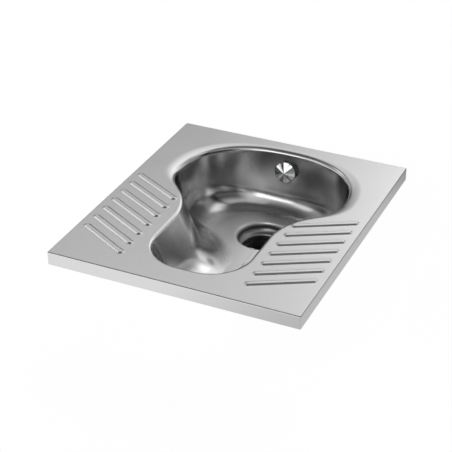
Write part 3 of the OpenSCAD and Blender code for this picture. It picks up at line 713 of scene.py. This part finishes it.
plain_steel = material("satin_plain", lambda tree: satin(tree, 0.66, 0.32))
deck.data.materials.append(material("deck_satin_painted_bend", deck_satin_painted_bend))
bowl.data.materials.append(material("satin_bowl", satin_bowl))
# The waste's cup is darker than the sheet in its colour, a painted shade for the dark inside the waste.
cup.data.materials.append(material("cup_painted_shade", lambda tree: satin(tree, 0.42, 0.34)))
spigot.data.materials.append(plain_steel)
print("satin finishes:", [m.name for m in bpy.data.materials if "satin" in m.name])

# %% [markdown]
# The spreader is turned on a lathe. Rings too fine to count spread each light into a streak across
# them, so they are a bump that depends only on the distance from the axis. A slight fan round the
# axis breaks the streaks up, and the rounded rim is painted dark where it turns to the wall: painted
# shade for the gap there. Brass, rubber, bitumen and zinc cover the pieces behind and below.

# %% Turned chrome, with painted shade at its rim
RIM_PAINTED_SHADE_IN, RIM_PAINTED_SHADE_OUT, RIM_PAINTED_SHADE = 2.2, 0.8, 0.12


def turned(tree):
    here = on_object(tree)
    off = tree.vector("SUBTRACT", [here, tuple((inlet + [0, 0, SKIRT]) / 1000)])
    crossed = tree.vector("CROSS_PRODUCT", [off, tuple(inlet_axis)])
    radius = tree.vector("LENGTH", [crossed], output="Value")
    grooves = tree.node("ShaderNodeTexNoise", {"noise_dimensions": "1D"},
                        {"W": radius * 1400, "Detail": 1.0})
    fan = noise(tree, tree.vector("NORMALIZE", [crossed]), (1.3, 1.3, 1.3), 1.0) * radius
    # Painted shade: the colour darkens across the rim's outer round, where it turns to the wall.
    rim_starts, rim_ends = (CAP_R - RIM_PAINTED_SHADE_IN) / 1000, (CAP_R - RIM_PAINTED_SHADE_OUT) / 1000
    rim = tree.node("ShaderNodeMapRange", {}, [radius, rim_starts, rim_ends, 1.0, RIM_PAINTED_SHADE])
    cloud = noise(tree, here, (60, 60, 60))
    return metal(tree, grey(tree, (cloud * 0.05 + 0.80) * rim, (1.0, 1.01, 1.02)), cloud * 0.04 + 0.12,
                 bumped(tree, grooves, 0.00012, normal=bumped(tree, fan, 0.7)))


# %% Brass, rubber, bitumen and zinc
def cast_brass(tree):
    here = on_object(tree)
    skin_h = noise(tree, here, (900, 900, 900), 4.0)
    stain = noise(tree, here, (45, 45, 45), 3.0)
    colour = tree.mixed(stain + 0.5, (0.60, 0.43, 0.20, 1), (0.78, 0.61, 0.33, 1))
    return metal(tree, colour, stain * 0.25 + 0.36, bumped(tree, skin_h, 0.00012))


def matt(tree, level, rough, grain, depth):
    here = on_object(tree)
    skin_h = noise(tree, here, (grain, grain, grain), 4.0)
    dust = noise(tree, here, (30, 30, 30), 3.0)
    return tree.node("ShaderNodeBsdfPrincipled", {}, {
        "Base Color": grey(tree, dust * level + level), "Roughness": dust * 0.2 + rough,
        "Normal": bumped(tree, skin_h, depth)})


def zinc(tree):
    here = on_object(tree)
    spangle = tree.node("ShaderNodeTexVoronoi", {}, {"Vector": here, "Scale": 450.0}, output=0)
    return metal(tree, grey(tree, spangle * 0.15 + 0.55, (0.98, 1.0, 1.02)), spangle * 0.15 + 0.26,
                 bumped(tree, spangle, 0.00003))


finishes = {
    "satin_steel": plain_steel,
    "chrome": material("turned_chrome", turned),
    "brass": material("cast_brass", cast_brass),
    "rubber": material("black_rubber", lambda tree: matt(tree, 0.035, 0.62, 1500, 0.00005)),
    "damping_rubber": material("bitumen_sheet", lambda tree: matt(tree, 0.055, 0.85, 500, 0.0003)),
    "plated_steel": material("zinc_plate", zinc)}
spreader.data.materials.append(finishes["chrome"])
for part in frame["record"]["subparts"]:
    for holder in frame["nodes"][part["node"]].material_slots:
        holder.material = finishes[part["material_slot"]]
print("finishes:", sorted(finishes))

# %% [markdown]
# ## Camera
#
# The plate's four corners and the ribs give the photograph's camera: 25 degrees to the right, 31
# degrees above, 3 metres away with a long lens.

# %% Camera
AZIMUTH, ELEVATION, DISTANCE = math.radians(24.565), math.radians(30.932), 3020.461
SLIDE_X, SLIDE_Y, FOCAL_PX, PHOTO_PX = -25.027, -42.629, 1300.067, 452
back = np.array([math.sin(AZIMUTH) * math.cos(ELEVATION), -math.cos(AZIMUTH) * math.cos(ELEVATION),
                 math.sin(ELEVATION)])
across = np.cross(-back, [0, 0, 1])
across /= np.linalg.norm(across)
up = np.cross(across, -back)
stand = (back * DISTANCE + across * SLIDE_X + up * SLIDE_Y + [0, 0, SKIRT]) / 1000
camera = bpy.data.objects.new("camera", bpy.data.cameras.new("camera"))
bpy.context.collection.objects.link(camera)
camera.data.sensor_width = 36
camera.data.lens = FOCAL_PX / PHOTO_PX * 36
camera.data.clip_end = 50
camera.matrix_world = Matrix([[across[i], up[i], back[i], stand[i]] for i in range(3)] + [[0, 0, 0, 1]])
bpy.context.scene.camera = camera
bpy.context.scene.view_settings.view_transform = "Standard"
print("camera at", stand.round(3))

# %% [markdown]
# ## Studio
#
# Metal shows what stands round it, so the studio is planned from the photograph's reflections. The
# flat deck mirrors windows about 31 degrees up behind the pan, brighter towards the right. The rear
# wall's foot mirrors a low strip in front, which gives the white bar in the bowl. A dark gap low at
# the back draws the ribs' back lines, and the dark sky overhead draws the front slopes of the right
# ribs. A dark side at the right shades the bowl's walls. Lamps would leave hard squares in so smooth
# a metal, so all of it is in the world, as soft-edged windows on a plain sky. The camera itself sees
# white.

# %% World: a sky that darkens upwards, with windows and dark screens on it
world = bpy.data.worlds.new("studio")
bpy.context.scene.world = world
world.use_nodes = True
sky = Tree(world.node_tree)
dx, dy, dz = sky.outputs("ShaderNodeSeparateXYZ", "XYZ", [sky.node("ShaderNodeTexCoord")])
elevation = sky.node("ShaderNodeMath", {"operation": "ARCSINE"}, [dz]) * (180 / math.pi)
azimuth = sky.node("ShaderNodeMath", {"operation": "ARCTAN2"}, [dx, dy]) * (180 / math.pi)
plain_sky = sky.node("ShaderNodeValToRGB", {}, [elevation / 90],
                     stops=[(0, .55), (10 / 90, .50), (30 / 90, .38), (60 / 90, .06), (1, .12)])


def within(value, centre, half, soft):
    away = value - centre
    if value is azimuth:
        away = sky.node("ShaderNodeMath", {"operation": "WRAP"}, [away, 180.0, -180.0])
    away = sky.node("ShaderNodeMath", {"operation": "ABSOLUTE"}, [away])
    return sky.ramped(away, float(half - soft), float(half + soft), 1.0, 0.0)


# Each window in degrees: azimuth from the back towards the right, height, half width, half height and
# softness. The last value is its strength, which is below zero where it is a dark screen.
WINDOWS = {
    "back window": (-10, 31, 9, 8, 6, 1.5),
    "back left window": (-34, 38, 11, 6, 6, 0.85),
    "back right window": (16, 24, 13, 8, 12, 1.75),
    "dark gap at the back": (-9, 8, 38, 10, 5, -0.9),
    "low light at the right": (35, 11, 14, 4, 8, 0.6),
    "dark side": (116, 23, 34, 24, 12, -0.75),
    "pale wall in front": (143, 42, 52, 22, 4, 0.53),
    "front strip": (-171, 19, 19, 10, 4, 2.0),
    "front left window": (-138, 28, 14, 9, 7, 0.9),
    "low light at the left": (-119, 4, 31, 7, 14, 1.3),
    "left strip": (-82, 37, 7, 8, 5, 1.8),
    "high back window": (-4, 53, 20, 9, 6, 1.3),
    "high light at the right": (54, 53, 24, 8, 5, 0.9)}
light = plain_sky
for turn_deg, height_deg, half_w, half_h, soft, strength in WINDOWS.values():
    window = within(azimuth, turn_deg, half_w, soft) * within(elevation, height_deg, half_h, soft)
    light = light + window * strength
light = sky.node("ShaderNodeMath", {"operation": "MAXIMUM"}, [light, 0.0])
seen = sky.node("ShaderNodeLightPath", output="Is Camera Ray")
glow = sky.node("ShaderNodeBackground", {}, [sky.mixed(seen, light, (1, 1, 1, 1)), 1.0])
sky.node("ShaderNodeOutputWorld", {}, {"Surface": glow})
print("windows:", len(WINDOWS))

# %% [markdown]
# The floor is white paper. The camera sees it white, with a faint shadow of the pan. The metal sees
# it too, painted darker towards the right, a painted shade that tones the two skirts, and towards the
# back, which darkens the ribs' outer ends. Under the spigot lies a black disc, painted shade of the drain.

# %% Floor
def flat(name, corners, z, build):
    mesh = bpy.data.meshes.new(name)
    mesh.from_pydata([(x, y, z) for x, y in corners], [], [tuple(range(len(corners)))])
    mesh.materials.append(material(name, build))
    thing = bpy.data.objects.new(name, mesh)
    bpy.context.collection.objects.link(thing)


def paper(tree):
    x, y = tree.outputs("ShaderNodeSeparateXYZ", "XY", [on_object(tree)])
    # Painted shade, seen only by the metal: the paper's tone falls towards the right and towards the back.
    rightward = tree.ramped(x, -0.25, 0.2, 1.0, 0.65)
    rearward = tree.ramped(x * -0.6 + y, 0.2, 0.9, 1.0, 0.1)
    camera_ray, glossy_ray, clear_ray = tree.outputs(
        "ShaderNodeLightPath", ["Is Camera Ray", "Is Glossy Ray", "Is Transmission Ray"])
    bright = camera_ray * 0.93 + (glossy_ray + clear_ray) * rightward * rearward
    lamp = tree.node("ShaderNodeEmission", {}, {"Color": grey(tree, bright), "Strength": 1.0})
    shadowed = grey(tree, 0.8 - camera_ray * 0.65 - glossy_ray * 0.75)
    return tree.node("ShaderNodeAddShader", {}, [lamp, tree.node("ShaderNodeBsdfDiffuse", {}, [shadowed])])


# A black sheet under the spigot: painted shade for the dark down the drain.
def dark(tree):
    return tree.node("ShaderNodeBsdfDiffuse", {}, {"Color": (0.01, 0.01, 0.01, 1)})


FLOOR_Z, FLOOR_HALF, DRAIN_R, DRAIN_LIFT = cad_low.z, 4, 52.5, 0.0005
paper_edge = [(-FLOOR_HALF, -FLOOR_HALF), (FLOOR_HALF, -FLOOR_HALF), (FLOOR_HALF, FLOOR_HALF),
              (-FLOOR_HALF, FLOOR_HALF)]
flat("floor", paper_edge, FLOOR_Z, paper)
drain_rim = [((MOUTH_X + DRAIN_R * math.cos(t)) / 1000, (WASTE_Y + DRAIN_R * math.sin(t)) / 1000)
             for t in np.linspace(0, 2 * math.pi, 64, endpoint=False)]
flat("drain", drain_rim, FLOOR_Z + DRAIN_LIFT, dark)
print("floor at", round(FLOOR_Z, 4))
